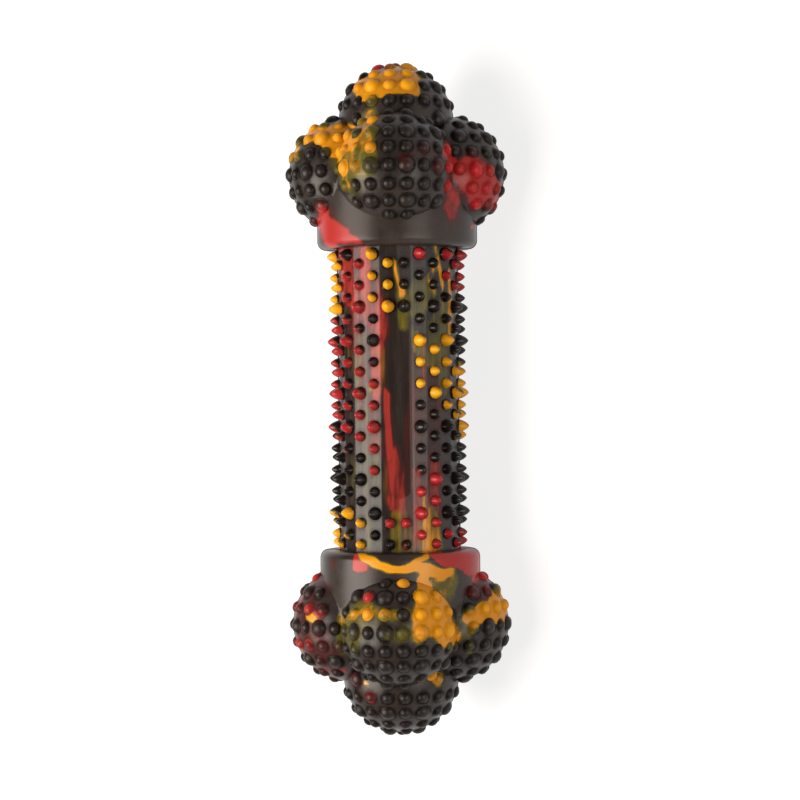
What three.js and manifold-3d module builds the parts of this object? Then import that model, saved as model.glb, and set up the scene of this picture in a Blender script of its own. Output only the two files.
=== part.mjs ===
// Bone-shaped chew toy for a large dog, in millimetres.
// A nylon core bar runs through the middle. A spiked rubber sleeve is moulded round it, and a rubber
// end with five nubbed knuckles is moulded over the bulb at each end of the bar.
// Each piece is drawn upright, with the long axis on +Z and the front towards -Y. The whole toy is then
// laid down along +X, where it rests on two knuckles of each end.
import * as THREE from "three";
import { ConvexHull } from "three/addons/math/ConvexHull.js";
import { mergeVertices } from "three/addons/utils/BufferGeometryUtils.js";
import Module from "manifold-3d";

const wasm = await Module();
wasm.setup();

// Sleeve: a many-sided tube with one column of spikes on each flat
const sleeveLength = 84.8; // what shows between the two collars
const sleeveRadius = 17; // over the corners of the flats
const flatCount = 24;
const spikeRows = 14;
const spikePitch = 6; // from spike to spike along a column
const spikeStagger = 2.6; // how much lower every other column sits
const smallSpikeRadius = 1.45;
const smallSpikeHeight = 2.5;
const largeSpikeRadius = 1.85;
const largeSpikeHeight = 3.3;
const largeSpikeEvery = 4; // one spike in so many along a column is a large one
const spikeRoot = 0.7; // how deep a spike is rooted in its flat

// Bare panel on the front of the sleeve
const panelWidth = 6.8;
const panelLength = 50.5;
const panelCentre = -1.7;
const panelMargin = 0.2; // bare rim between the panel and the nearest spikes

// Knuckled end, measured from the face of its collar
const collarRadius = 22.5;
const collarFillet = 2.3;
const knuckleRadius = 16.2;
const sideKnuckleCount = 4;
const sideKnuckleHeight = 21.1; // from the collar face to the ring of side knuckles
const sideKnuckleOffset = 14.2; // from the long axis to a side knuckle's centre
const tipKnuckleRise = 14.5; // from the ring of side knuckles to the tip knuckle's centre

// Nubs that cover the knuckles
const nubPitch = 5.1;
const nubTurn = 0.72; // how far a row's first nub stands past the front, as a share of a step
const smallNubRadius = 1.6;
const smallNubHeight = 1;
const largeNubRadius = 2.15;
const largeNubHeight = 1.15;
const largeNubEvery = 2; // one nub, and one row, in so many has the large size
const nubTaper = 0.7; // a nub's width at its top, as a share of its width at its foot
const nubMargin = 0.8; // a nub's foot stands at least this far out of the neighbouring knuckles

// Core bar, with a bulb inside each end
const barRadius = 8; // over the corners of its hexagon
const barSides = 6;
const neckLength = 14; // from the collar face to the bulb's shoulder
const bulbRadius = 11;
const bulbLength = 13;

// Fits
const socketDepth = 4; // how far the sleeve reaches into a collar
const fitGap = 0.3; // clearance between neighbouring pieces
const cutOver = 1; // how far a cut runs past the face that it opens

// Fineness of the round shapes
const collarSides = 24;
const bulbSides = 12;
const arcSteps = 2;
const spikeSides = 5;
const nubCorners = 4;

// Looks of the nylon and of the two rubber mouldings
const nylonLook = { color: 0xe6dfcc, roughness: 0.4 };
const sleeveLook = { color: 0x4a3a35, roughness: 0.35 };
const endLook = { color: 0x3a3533, roughness: 0.5 };

const longAxis = new THREE.Vector3(0, 0, 1);

// A closed three.js geometry as a solid for joining and cutting
function solidOf(geometry) {
  const bare = geometry.clone();
  bare.deleteAttribute("normal");
  bare.deleteAttribute("uv");
  const merged = mergeVertices(bare);
  const vertProperties = merged.attributes.position.array;
  const triVerts = new Uint32Array(merged.index.array);
  return new wasm.Manifold(new wasm.Mesh({ numProp: 3, vertProperties, triVerts }));
}

// A solid as a three.js geometry
function geometryOf(solid) {
  const { vertProperties, triVerts } = solid.getMesh();
  const geometry = new THREE.BufferGeometry();
  geometry.setAttribute("position", new THREE.BufferAttribute(vertProperties, 3));
  geometry.setIndex(new THREE.BufferAttribute(triVerts, 1));
  geometry.computeVertexNormals();
  return geometry;
}

function joined(solids) {
  return solids.reduce((body, solid) => body.add(solid));
}

// A profile of radius and height, from the axis below to the axis above, turned round the long axis
function turned(profile, sides) {
  return new THREE.LatheGeometry(profile.getPoints(arcSteps), sides).rotateX(Math.PI / 2);
}

// A prism with a regular section, from one height to another
function prism(radius, sides, bottom, top) {
  const corners = Array.from({ length: sides }, (_, i) => {
    const { x, y } = outward((i / sides) * 2 * Math.PI);
    return new THREE.Vector2(x * radius, y * radius);
  });
  const options = { depth: top - bottom, bevelEnabled: false };
  return new THREE.ExtrudeGeometry(new THREE.Shape(corners), options).translate(0, 0, bottom);
}

// The direction of an angle round the long axis, counted from the front towards +X
function outward(angle) {
  return new THREE.Vector3(Math.sin(angle), -Math.cos(angle), 0);
}

// The bulb's profile, grown all round by a clearance: a flat shoulder, a short side and a dome
function bulbProfile(clearance) {
  const bottom = neckLength - clearance;
  const radius = bulbRadius + clearance;
  const middle = neckLength + bulbLength / 2;
  const dome = bulbLength / 2 + clearance;
  const profile = new THREE.Path().moveTo(0, bottom).lineTo(radius, bottom).lineTo(radius, middle);
  return profile.absellipse(0, middle, radius, dome, 0, Math.PI / 2, false);
}

// The hexagonal bar, with a bulb inside each end
function nylonCore() {
  const reach = sleeveLength / 2 + neckLength + bulbLength / 2;
  const bulb = turned(bulbProfile(0), bulbSides).translate(0, 0, sleeveLength / 2);
  const otherBulb = bulb.clone().rotateY(Math.PI);
  return geometryOf(joined([prism(barRadius, barSides, -reach, reach), bulb, otherBulb].map(solidOf)));
}

// The hexagonal hole that the bar passes through
function barHole(bottom, top) {
  const growth = fitGap / Math.cos(Math.PI / barSides);
  return solidOf(prism(barRadius + growth, barSides, bottom, top));
}

// A spike that stands on a flat, with its root below the flat
function spike(foot, normal, radius, height) {
  const rootRadius = radius * (1 + spikeRoot / height);
  const cone = new THREE.ConeGeometry(rootRadius, height + spikeRoot, spikeSides);
  const turn = new THREE.Quaternion().setFromUnitVectors(new THREE.Vector3(0, 1, 0), normal);
  return solidOf(cone.translate(0, (height - spikeRoot) / 2, 0).applyQuaternion(turn).translate(...foot));
}

// A column of spikes along the middle of each flat, alike to the left and right of the front.
// Every other column sits lower, and the two columns at the front leave the panel bare.
function spikes() {
  const flatAngle = (2 * Math.PI) / flatCount;
  const apothem = sleeveRadius * Math.cos(flatAngle / 2);
  const made = [];
  for (let column = 0; column < flatCount; column++) {
    const fromFront = Math.min(column, flatCount - 1 - column);
    const lowered = fromFront % 2 === 0;
    const normal = outward((column + 0.5) * flatAngle);
    const shift = (lowered ? -0.5 : 0.5) * spikeStagger;
    const firstLarge = lowered ? Math.floor(largeSpikeEvery / 2) : 0;
    for (let row = 0; row < spikeRows; row++) {
      const large = (row - firstLarge) % largeSpikeEvery === 0;
      const radius = large ? largeSpikeRadius : smallSpikeRadius;
      const height = shift + ((spikeRows - 1) / 2 - row) * spikePitch;
      const barePart = panelLength / 2 + panelMargin + radius;
      if (fromFront === 0 && Math.abs(height - panelCentre) < barePart) continue;
      const foot = normal.clone().multiplyScalar(apothem).setZ(height);
      made.push(spike(foot, normal, radius, large ? largeSpikeHeight : smallSpikeHeight));
    }
  }
  return made;
}

// The panel is a flat cut across the front corner, as deep as its width asks for
function panelCut() {
  const depth = sleeveRadius - (panelWidth / 2) * Math.tan(Math.PI / flatCount);
  const cut = new THREE.BoxGeometry(2 * sleeveRadius, sleeveRadius, panelLength);
  return solidOf(cut.translate(0, -depth - sleeveRadius / 2, panelCentre));
}

function spikedSleeve() {
  const reach = sleeveLength / 2 + socketDepth - fitGap;
  const tube = solidOf(prism(sleeveRadius, flatCount, -reach, reach));
  const bored = tube.subtract(barHole(-reach - cutOver, reach + cutOver)).subtract(panelCut());
  return geometryOf(joined([bored, ...spikes()]));
}

// The collar: a round drum with a filleted lip, closed by a cone that the knuckles cover
function collar() {
  const wall = collarRadius - sleeveRadius - fitGap;
  const fillet = Math.min(collarFillet, wall / 2);
  const profile = new THREE.Path().moveTo(0, 0).lineTo(collarRadius - fillet, 0);
  profile.absarc(collarRadius - fillet, fillet, fillet, -Math.PI / 2, 0, false);
  profile.lineTo(collarRadius, sideKnuckleHeight).lineTo(0, sideKnuckleHeight + tipKnuckleRise);
  return solidOf(turned(profile, collarSides));
}

// Where the knuckles of one end sit, and how far each is turned from the front: a ring, then the tip
function knuckles() {
  const sides = Array.from({ length: sideKnuckleCount }, (_, i) => {
    const turn = (i / sideKnuckleCount) * 2 * Math.PI;
    return { turn, centre: outward(turn).multiplyScalar(sideKnuckleOffset).setZ(sideKnuckleHeight) };
  });
  const tip = { turn: 0, centre: new THREE.Vector3(0, 0, sideKnuckleHeight + tipKnuckleRise) };
  return [...sides, tip];
}

// The nubs of a whole knuckle, in rows round its middle. All rows start alike, so that the nubs line up
// in columns at the front, and two large nubs are never neighbours.
function nubPattern() {
  const rowsToPole = Math.round((Math.PI / 2) * (knuckleRadius / nubPitch));
  const pattern = [];
  for (let row = -rowsToPole; row <= rowsToPole; row++) {
    const latitude = (row / rowsToPole) * (Math.PI / 2);
    const girth = 2 * Math.PI * knuckleRadius * Math.cos(latitude);
    const count = Math.max(1, Math.round(girth / nubPitch));
    for (let i = 0; i < count; i++) {
      const angle = ((i + nubTurn) / count) * 2 * Math.PI;
      const direction = outward(angle).multiplyScalar(Math.cos(latitude)).setZ(Math.sin(latitude));
      const large = row % largeNubEvery === 0 && i % largeNubEvery === 0 && i + 1 < count;
      pattern.push({ direction, large });
    }
  }
  return pattern;
}

// The corners of a ring round a direction, so far along it; the ring is shifted by a share of a step
function ringRound(direction, along, radius, shift) {
  const lean = new THREE.Quaternion().setFromUnitVectors(longAxis, direction);
  return Array.from({ length: nubCorners }, (_, i) => {
    const angle = ((i + shift) / nubCorners) * 2 * Math.PI;
    const corner = new THREE.Vector3(radius * Math.cos(angle), radius * Math.sin(angle), along);
    return corner.applyQuaternion(lean);
  });
}

// How far a point stands out of the collar's drum, which ends at the middle of the side knuckles
function clearOfCollar(point) {
  return point.z > sideKnuckleHeight ? Infinity : Math.hypot(point.x, point.y) - collarRadius;
}

// One nub of a knuckle: its foot's ring on the ball and its top's ring, turned by half a step so that
// the few faces between them read as round.
// Where a neighbour covers the ball, the foot is a single point and nothing stands on it.
function nubOn(knuckle, others, { direction, large }) {
  const radius = large ? largeNubRadius : smallNubRadius;
  const height = large ? largeNubHeight : smallNubHeight;
  const normal = direction.clone().applyAxisAngle(longAxis, knuckle.turn);
  const middle = normal.clone().multiplyScalar(knuckleRadius);
  const place = middle.clone().add(knuckle.centre);
  const clearances = others.map((other) => place.distanceTo(other.centre) - knuckleRadius);
  if (Math.min(clearOfCollar(place), ...clearances) < nubMargin) return { foot: [middle], shows: false };
  const foot = ringRound(normal, Math.sqrt(knuckleRadius ** 2 - radius ** 2), radius, 0);
  const top = ringRound(normal, knuckleRadius + height, radius * nubTaper, 0.5);
  return { foot, top, shows: true };
}

// The triangles of a nub's side and top
function nubSkin({ foot, top }) {
  return foot.flatMap((corner, i) => {
    const next = (i + 1) % nubCorners;
    const side = [corner, foot[next], top[i], foot[next], top[next], top[i]];
    return i > 0 && next > 0 ? [...side, top[0], top[i], top[next]] : side;
  });
}

// A knuckle is the tightest skin over the feet of its nubs, with a nub raised on each foot that shows
function knuckleBall(knuckle, others) {
  const nubs = nubPattern().map((placed) => nubOn(knuckle, others, placed));
  const nubOf = new Map(nubs.flatMap((nub) => nub.foot.map((corner) => [corner, nub])));
  const skin = new ConvexHull().setFromPoints([...nubOf.keys()]);
  const ground = skin.faces.flatMap(({ edge }) => {
    const triangle = [edge, edge.next, edge.next.next].map((side) => side.head().point);
    const [nub, ...rest] = triangle.map((corner) => nubOf.get(corner));
    const underNub = nub.shows && rest.every((one) => one === nub);
    return underNub ? [] : triangle;
  });
  const raised = nubs.filter((nub) => nub.shows).flatMap(nubSkin);
  const ball = new THREE.BufferGeometry().setFromPoints([...ground, ...raised]);
  return solidOf(ball.translate(...knuckle.centre));
}

// What an end leaves free inside: the sleeve's socket, the bar's hole and the bulb's seat
function endHollow() {
  const radius = sleeveRadius + fitGap;
  const socket = new THREE.Path().moveTo(0, -cutOver).lineTo(radius, -cutOver);
  socket.lineTo(radius, socketDepth).lineTo(0, socketDepth);
  const hole = barHole(0, neckLength + bulbLength / 2);
  const seat = turned(bulbProfile(fitGap), bulbSides);
  return joined([solidOf(turned(socket, collarSides)), hole, solidOf(seat)]);
}

function knuckledEnd() {
  const all = knuckles();
  const balls = all.map((knuckle) => knuckleBall(knuckle, all.filter((other) => other !== knuckle)));
  return geometryOf(joined([collar(), ...balls]).subtract(endHollow()));
}

function piece(name, geometry, look) {
  const mesh = new THREE.Mesh(geometry, new THREE.MeshStandardMaterial(look));
  mesh.name = name;
  return mesh;
}

const core = piece("nylon_core", nylonCore(), nylonLook);
const sleeve = piece("spiked_sleeve", spikedSleeve(), sleeveLook);
const endShape = knuckledEnd();
const upperEnd = piece("upper_knuckle_end", endShape, endLook);
upperEnd.position.z = sleeveLength / 2;
const lowerEnd = piece("lower_knuckle_end", endShape, endLook);
lowerEnd.position.z = -sleeveLength / 2;
lowerEnd.rotation.y = Math.PI;

const upright = new THREE.Group();
upright.add(core, sleeve, upperEnd, lowerEnd);
upright.rotation.z = -Math.PI / sideKnuckleCount; // rolls it onto two knuckles of each end

const lying = new THREE.Group();
lying.rotation.y = Math.PI / 2;
lying.add(upright);

const toy = new THREE.Group();
toy.add(lying);
lying.position.z = -new THREE.Box3().setFromObject(toy, true).min.z; // sets it down on the surface

export default toy;
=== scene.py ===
import math

import bpy
import numpy as np
from mathutils import Matrix, Vector


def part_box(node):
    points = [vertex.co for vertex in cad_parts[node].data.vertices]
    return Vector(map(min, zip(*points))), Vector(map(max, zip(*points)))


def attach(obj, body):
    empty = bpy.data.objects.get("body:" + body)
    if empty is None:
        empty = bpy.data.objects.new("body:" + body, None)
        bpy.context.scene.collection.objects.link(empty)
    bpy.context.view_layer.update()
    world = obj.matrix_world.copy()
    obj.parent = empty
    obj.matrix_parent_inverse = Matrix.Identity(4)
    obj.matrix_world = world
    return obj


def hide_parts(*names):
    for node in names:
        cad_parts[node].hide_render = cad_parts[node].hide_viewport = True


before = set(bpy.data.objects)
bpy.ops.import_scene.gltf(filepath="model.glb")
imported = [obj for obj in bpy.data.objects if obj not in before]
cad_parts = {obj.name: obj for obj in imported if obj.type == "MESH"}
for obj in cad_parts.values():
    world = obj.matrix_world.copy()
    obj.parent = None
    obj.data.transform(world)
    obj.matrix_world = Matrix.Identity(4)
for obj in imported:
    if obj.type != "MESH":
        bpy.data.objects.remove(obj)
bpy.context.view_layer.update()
print("frame loaded:", sorted(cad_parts))

mm = 0.001
tiny = 1e-6  # for safe comparing and dividing
endLow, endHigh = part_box("upper_knuckle_end")
axisHeight = (endLow.z + endHigh.z) / 2  # the long axis lies half way up the knuckles
rollShare = math.sqrt(0.5)  # sine and cosine of the eighth turn that lays the toy on two knuckles
sharpAngle = 44  # degrees; an edge stays sharp where its faces turn by more than this
photoEye = {"distance": 657.0, "turn": 1.5}  # mm from the long axis, and degrees to the right of the front


# Frames and meshes

def outward(angle):
    # the direction of an angle round the long axis, counted from the front towards the right
    return np.stack([np.sin(angle), -np.cos(angle), np.zeros_like(angle)], axis=-1)


def laidDown(points):
    # upright millimetres to the lying toy in metres: up turns to +X, the front to between -Y and +Z
    x, y, z = np.moveaxis(points, -1, 0)
    return np.stack([z * mm, (y - x) * rollShare * mm, axisHeight - (x + y) * rollShare * mm], axis=-1)


def closedShells(name, rings, bottoms, tops):
    # rings[shell, ring, side] joined round and upwards, each shell drawn in to a point at both ends
    shells, ringCount, sides, _ = rings.shape
    size = ringCount * sides + 2
    corners = np.concatenate([rings.reshape(shells, -1, 3), bottoms[:, None], tops[:, None]], axis=1)
    here = np.arange(sides)
    after = (here + 1) % sides
    level = (np.arange(ringCount - 1) * sides)[:, None]
    walls = np.stack([level + here, level + after, level + sides + after, level + sides + here], axis=-1)
    lastRing = (ringCount - 1) * sides
    lowFan = np.stack([after, here, np.full(sides, size - 2)], axis=-1)
    highFan = np.stack([lastRing + here, lastRing + after, np.full(sides, size - 1)], axis=-1)
    start = (np.arange(shells) * size)[:, None, None]
    quads = (start + walls.reshape(1, -1, 4)).reshape(-1, 4)
    fans = (start + np.concatenate([lowFan, highFan])[None]).reshape(-1, 3)
    mesh = bpy.data.meshes.new(name)
    mesh.from_pydata(corners.reshape(-1, 3).tolist(), [], quads.tolist() + fans.tolist())
    return mesh


def turnedProfile(name, profile, sides):
    # a profile of radius and height, from the axis below to the axis above, carried round the long axis
    profile = np.asarray(profile, float)
    around = outward(np.arange(sides) / sides * 2 * np.pi)
    rings = profile[1:-1, None, :1] * around + np.array([0, 0, 1]) * profile[1:-1, None, 1:]
    low, high = [[0, 0, profile[0, 1]]], [[0, 0, profile[-1, 1]]]
    return closedShells(name, rings[None], np.array(low), np.array(high))


def combined(body, tool, operation):
    # two closed meshes joined, or the second cut out of the first
    holders = [bpy.data.objects.new("holder", mesh) for mesh in (body, tool)]
    for holder in holders:
        bpy.context.scene.collection.objects.link(holder)
    change = holders[0].modifiers.new("combine", "BOOLEAN")
    change.operation = operation
    change.solver = "MANIFOLD"
    change.object = holders[1]
    graph = bpy.context.evaluated_depsgraph_get()
    made = bpy.data.meshes.new_from_object(holders[0].evaluated_get(graph))
    for holder in holders:
        bpy.data.objects.remove(holder)
    return made


def cornersOf(mesh):
    # the places of a mesh's corners, one row for each
    flat = np.zeros(len(mesh.vertices) * 3, np.float32)
    mesh.vertices.foreach_get("co", flat)
    return flat.reshape(-1, 3).astype(float)


def finishedPiece(name, mesh, upright, fields):
    # the mesh set to its place on the lying toy, with its marbling and its sharp edges
    piece = mesh.copy()
    piece.name = name
    piece.vertices.foreach_set("co", laidDown(upright).astype(np.float32).ravel())
    for key, values in fields.items():
        layer = piece.attributes.new(key, "FLOAT", "POINT")
        layer.data.foreach_set("value", values.astype(np.float32))
    piece.shade_smooth()
    piece.set_sharp_from_angle(angle=math.radians(sharpAngle))
    piece.update()
    thing = bpy.data.objects.new(name, piece)
    bpy.context.scene.collection.objects.link(thing)
    print("made", name, "with", len(piece.polygons), "faces")
    return thing


# Marbling: strips of amber and red rubber that were laid on the charcoal one before pressing

# The soft rubber flowed in waves: their lengths in mm, how much of each axis they follow,
# and how far they carry a colour to the right and up, in mm
freeFlow = {
    "waves": 9, "longest": 18.0, "shortest": 4.0, "grain": (1, 1, 1), "sway": (3.0, 3.0), "seed": 23,
}
stillFlow = {
    "waves": 2, "longest": 9.0, "shortest": 8.0, "grain": (1, 1, 1), "sway": (0.3, 0.3), "seed": 31,
}
drawnFlow = {
    "waves": 9, "longest": 14.0, "shortest": 3.0, "grain": (1, 1, 0.3), "sway": (1.4, 6.0), "seed": 29,
}
halves = {"frontEnds": 3.0, "backStarts": 6.0, "fade": 0.6}  # mm behind the long axis
studColour = {"least": 0.4, "lift": 2.5}  # from which value a stud is raised, and by how much

# The highest value that a stroke gives, in widths of its soft edge
full = 6.0
groundPeak = 2.0  # the most that the ground between the studs takes
partly = 0.5  # covers its ground in part
film = -0.7  # the charcoal shows through


def wavered(points, flow):
    # how far the soft rubber swayed to the right and up: a sum of waves, the longer ones wider
    chance = np.random.default_rng(flow["seed"])
    lengths = np.geomspace(flow["longest"], flow["shortest"], flow["waves"])
    ways = chance.normal(size=(flow["waves"], 3))
    ways /= np.linalg.norm(ways, axis=1, keepdims=True)
    phases = chance.uniform(0, 2 * np.pi, (2, flow["waves"]))
    run = (points * flow["grain"]) @ ways.T / lengths * 2 * np.pi
    weights = lengths / lengths.sum()
    return [np.sin(run + phase) @ weights * sway for phase, sway in zip(phases, flow["sway"])]


def strokeField(strokes, right, up):
    # how deep a point lies in the nearest tapered stroke, in widths of that stroke's soft edge
    field = np.full(right.shape, -full)
    for _, (startRight, startUp, startWidth), (endRight, endUp, endWidth), soft, peak in strokes:
        wayRight, wayUp = endRight - startRight, endUp - startUp
        span = max(wayRight ** 2 + wayUp ** 2, tiny)  # a dot has no length
        share = np.clip(((right - startRight) * wayRight + (up - startUp) * wayUp) / span, 0, 1)
        away = np.hypot(right - startRight - wayRight * share, up - startUp - wayUp * share)
        inside = (startWidth + (endWidth - startWidth) * share - away) / soft
        field = np.maximum(field, np.minimum(inside, peak))
    return field


def marbled(points, front, back, flow):
    # the front's strokes as the eye sees them; behind, the other list turned end for end
    x, y, z = np.moveaxis(points, -1, 0)
    turn = math.radians(photoEye["turn"])
    nearness = photoEye["distance"] / (photoEye["distance"] + y)
    swayRight, swayUp = wavered(points, flow)
    aside = x * math.cos(turn) + y * math.sin(turn)
    shown = strokeField(front, aside * nearness + swayRight, z * nearness + swayUp)
    shown -= np.maximum(0, y - halves["frontEnds"]) / halves["fade"]
    hidden = strokeField(back, x + swayRight, swayUp - z)
    hidden -= np.maximum(0, halves["backStarts"] - y) / halves["fade"]
    return np.maximum(shown, hidden)


def raised(values):
    # a nub or spike that takes a colour takes it fully, and brighter than the ground
    return np.where(values > studColour["least"], values + studColour["lift"], values)


def paintedShadeBell(gap, foot, width):
    # the mask of the painted shade: one where a foot meets its ground, falling off to both sides as a bell
    # of the width; it stands in for the shade that falls in the creases round the studs
    return np.exp(-((gap - foot) / width) ** 2)


def nearestOf(points, places):
    # the number of the nearest place and the distance to it
    spread = (points ** 2).sum(1)[:, None] - 2 * points @ places.T + (places ** 2).sum(1)
    nearest = spread.argmin(1)
    return nearest, np.linalg.norm(points - places[nearest], axis=1)


# Each stroke: what it is, its start and its end (to the right, up, half width), the width of its soft edge,
# all in mm, and its highest value
upperEndAmber = [
    ("cap of the tip, low", (-8.6, 87.6, 3.0), (5.0, 89.6, 3.1), 0.35, full),
    ("cap of the tip, high", (-5.5, 91.0, 2.9), (3.9, 91.7, 2.9), 0.35, full),
    ("drip from the cap", (-8.0, 87.0, 1.6), (-7.6, 85.3, 1.0), 0.35, full),
    ("top of the left knuckle", (-24.4, 75.0, 2.6), (-16.0, 75.0, 4.2), 0.5, full),
    ("inner side of the left knuckle", (-19.0, 73.0, 2.4), (-16.4, 69.6, 1.6), 0.5, full),
    ("left flank", (-28.7, 71.2, 0.7), (-30.9, 66.5, 0.7), 0.6, partly),
    ("edge of the front knuckle, high", (-7.9, 80.2, 1.5), (-11.6, 73.6, 2.3), 1.2, 0.0),
    ("edge of the front knuckle, low", (-11.6, 73.6, 2.6), (-13.7, 66.8, 1.8), 1.8, -0.1),
    ("breath beside it", (-9.4, 76.4, 1.8), (-11.6, 66.0, 2.0), 1.8, -0.3),
    ("run below it", (-14.0, 66.5, 1.3), (-14.4, 61.2, 0.5), 0.9, 0.0),
    ("breath on the front knuckle", (-11.2, 67.0, 1.2), (-10.6, 59.0, 0.9), 1.2, -1.1),
]
upperEndRed = [
    ("far side of the tip", (-5.4, 94.6, 0.9), (2.2, 95.2, 0.9), 0.4, full),
    ("wedge on the collar", (-20.4, 53.4, 1.6), (-17.9, 46.6, 3.4), 1.1, full),
    ("foot of the wedge", (-18.0, 45.4, 2.6), (-10.4, 43.9, 0.5), 1.1, full),
    ("right knuckle", (21.4, 64.4, 4.3), (25.2, 58.6, 4.6), 1.4, 1.0),
    ("right edge of the front knuckle", (13.0, 71.0, 1.1), (15.4, 66.6, 1.9), 0.6, full),
    ("breath on the front knuckle", (5.0, 66.8, 1.4), (10.4, 68.4, 2.4), 1.2, -1.0),
    ("streak down to the collar", (16.0, 60.0, 1.2), (16.4, 50.6, 1.6), 1.5, 0.1),
    ("fleck on the collar", (21.1, 48.9, 0.6), (21.3, 48.7, 0.6), 0.4, full),
]
lowerEndAmber = [
    ("band on the collar, start", (-10.2, -44.0, 0.9), (-6.9, -47.0, 0.8), 0.3, full),
    ("band on the collar, middle", (-6.9, -47.0, 0.8), (0.6, -48.4, 1.1), 0.3, full),
    ("band on the collar, end", (0.6, -48.4, 1.1), (10.5, -48.8, 1.9), 0.35, full),
    ("branch of the band", (4.2, -47.2, 0.6), (7.6, -45.2, 0.8), 0.35, full),
    ("fall from the band", (10.8, -49.0, 1.9), (12.8, -49.2, 1.7), 0.5, full),
    ("breath below it", (12.7, -51.4, 1.7), (12.9, -55.4, 1.3), 1.0, -0.4),
    ("front knuckle, high", (7.2, -53.4, 3.2), (9.0, -60.4, 6.0), 0.45, full),
    ("front knuckle, low", (9.0, -61.6, 6.2), (13.0, -66.6, 2.8), 0.9, 3.0),
    ("tail of it", (4.6, -64.6, 1.8), (4.2, -68.2, 1.2), 0.9, partly),
    ("crumbs, left", (-15.7, -62.6, 1.2), (-9.4, -59.6, 1.3), 0.9, -0.2),
    ("crumbs, right", (-6.1, -60.5, 1.1), (1.3, -60.8, 1.1), 0.9, -0.4),
    ("breath below the crumbs", (-12.8, -63.0, 2.2), (-15.0, -69.0, 1.4), 2.0, -0.8),
    ("breath beside the patch", (-4.4, -63.0, 1.4), (2.0, -65.6, 2.4), 2.4, -1.2),
    ("right knuckle, inside", (20.2, -63.2, 2.4), (26.2, -60.4, 3.8), 0.4, full),
    ("right knuckle, outside", (27.2, -57.6, 2.6), (28.2, -53.0, 1.4), 0.35, full),
    ("breath below the right knuckle's patch", (18.2, -67.8, 1.3), (19.2, -70.4, 0.8), 0.9, film),
    ("spot on the left knuckle", (-25.6, -61.0, 1.2), (-24.9, -62.0, 1.0), 0.4, full),
    ("right flank of the tip", (9.0, -79.2, 1.1), (10.9, -79.4, 1.1), 0.5, 0.6),
    ("left flank of the tip", (-9.6, -80.0, 0.8), (-9.4, -80.6, 0.6), 0.4, full),
]
lowerEndRed = [
    ("collar, left", (-10.6, -44.4, 1.2), (-9.9, -47.8, 1.5), 0.35, full),
    ("fleck at the collar's edge", (-19.4, -46.8, 0.6), (-18.8, -47.2, 0.6), 0.5, film),
    ("collar, right", (9.6, -43.8, 1.4), (17.6, -45.4, 3.8), 0.35, full),
    ("collar, right edge", (17.6, -45.4, 3.8), (21.2, -46.2, 3.2), 0.35, full),
    ("left knuckle, high", (-24.3, -52.7, 1.8), (-29.0, -58.3, 1.9), 1.8, -0.6),
    ("heart of the spot", (-24.0, -61.0, 0.9), (-23.9, -61.6, 0.9), 0.4, full),
    ("left knuckle, middle", (-26.8, -63.8, 3.0), (-26.0, -70.6, 3.6), 2.4, -0.9),
    ("left knuckle, low", (-26.0, -70.6, 3.6), (-21.4, -76.2, 3.0), 2.4, -0.7),
    ("top of the right knuckle", (21.2, -50.6, 1.0), (25.2, -49.4, 1.1), 0.5, full),
    ("breath on the right knuckle", (20.4, -54.0, 1.8), (23.0, -55.4, 1.4), 1.2, film),
    ("tip, left", (-14.3, -82.2, 1.2), (-9.6, -82.8, 1.2), 1.2, -1.4),
]
upperNubRed = [
    ("over the wedge", (-21.1, 54.5, 1.2), (-21.1, 54.5, 1.2), 0.4, 0.1),
    ("right knuckle, low", (22.4, 55.2, 1.2), (22.4, 55.2, 1.2), 0.4, full),
]
lowerNubAmber = [
    ("top of the front knuckle", (0.6, -52.5, 1.2), (0.6, -52.5, 1.2), 0.4, full),
]
lowerNubRed = [
    ("left of it", (-8.8, -55.5, 1.2), (-8.8, -55.5, 1.2), 0.4, full),
]
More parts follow.
